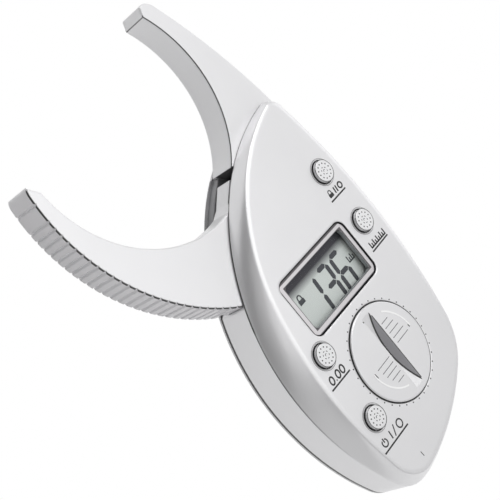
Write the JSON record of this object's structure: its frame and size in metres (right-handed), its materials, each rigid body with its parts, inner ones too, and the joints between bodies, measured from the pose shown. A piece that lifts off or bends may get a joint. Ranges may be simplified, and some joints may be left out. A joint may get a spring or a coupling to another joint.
{
  "type": "skinfold caliper",
  "caption": "Hand-held digital skinfold caliper: curved pivoting jaw against a fixed jaw on a flat shield-shaped housing with a display, keys and a coin-cell cap.",
  "frame": {"origin": "on the moving jaw's pivot axis, in the plane of the flat back face", "axes": "+Z out of the front face, +Y from the battery end toward the jaws, +X toward the fixed jaw's side"},
  "size_m": [0.0789, 0.1325, 0.0174],
  "materials": {
    "housing_plastic": "satin",
    "key_plastic": "satin",
    "bezel_plastic": "satin",
    "window": "polished",
    "display_grey": "satin",
    "strip_rubber": "matte",
    "board": "satin",
    "black_plastic": "matte",
    "nylon": "matte",
    "spring_steel": "bright",
    "cell_steel": "bright",
    "screw_steel": "satin",
    "contact_metal": "bright"
  },
  "bodies": {
    "housing": {"back_housing": "housing_plastic", "front_cover": "housing_plastic", "pivot_pin": "spring_steel", "pivot_washer": "nylon", "wave_washer": "spring_steel", "torsion_spring": "spring_steel", "circuit_board": "board", "key_switches": "black_plastic", "battery_cup": "black_plastic", "coin_cell": "cell_steel", "contact_negative": "contact_metal", "contact_positive": "contact_metal", "display_bezel": "bezel_plastic", "display_window": "window", "display_glass": "display_grey", "contact_strips": "strip_rubber", "display_chip": "black_plastic", "housing_screws": "screw_steel", "board_screws": "screw_steel"},
    "jaw": {"moving_jaw": "housing_plastic", "rotor_plate": "contact_metal"},
    "cap": {"battery_cap": "housing_plastic"},
    "hold": {"hold_key": "key_plastic"},
    "unit": {"unit_key": "key_plastic"},
    "zero": {"zero_key": "key_plastic"},
    "power": {"power_key": "key_plastic"}
  },
  "joints": [
    {"name": "jaw_pivot", "type": "hinge", "parent": "housing", "child": "jaw", "pos_m": [0, 0, 0.007], "axis": [0, 0, 1], "range_deg": [-61.2, 0], "stiffness_Nm_per_rad": 0.02, "springref_deg": 20.05, "deforming": ["torsion_spring"]},
    {"name": "cap_turn", "type": "hinge", "parent": "housing", "child": "cap", "pos_m": [0.00488, -0.04627, 0.0154], "axis": [0, 0, 1], "range_deg": [0, 40]},
    {"name": "hold_press", "type": "slide", "parent": "housing", "child": "hold", "axis": [0, 0, -1], "range_m": [0, 0.0005], "stiffness_N_per_m": 800, "springref_m": -0.0004},
    {"name": "unit_press", "type": "slide", "parent": "housing", "child": "unit", "axis": [0, 0, -1], "range_m": [0, 0.0005], "stiffness_N_per_m": 800, "springref_m": -0.0004},
    {"name": "zero_press", "type": "slide", "parent": "housing", "child": "zero", "axis": [0, 0, -1], "range_m": [0, 0.0005], "stiffness_N_per_m": 800, "springref_m": -0.0004},
    {"name": "power_press", "type": "slide", "parent": "housing", "child": "power", "axis": [0, 0, -1], "range_m": [0, 0.0005], "stiffness_N_per_m": 800, "springref_m": -0.0004}
  ]
}
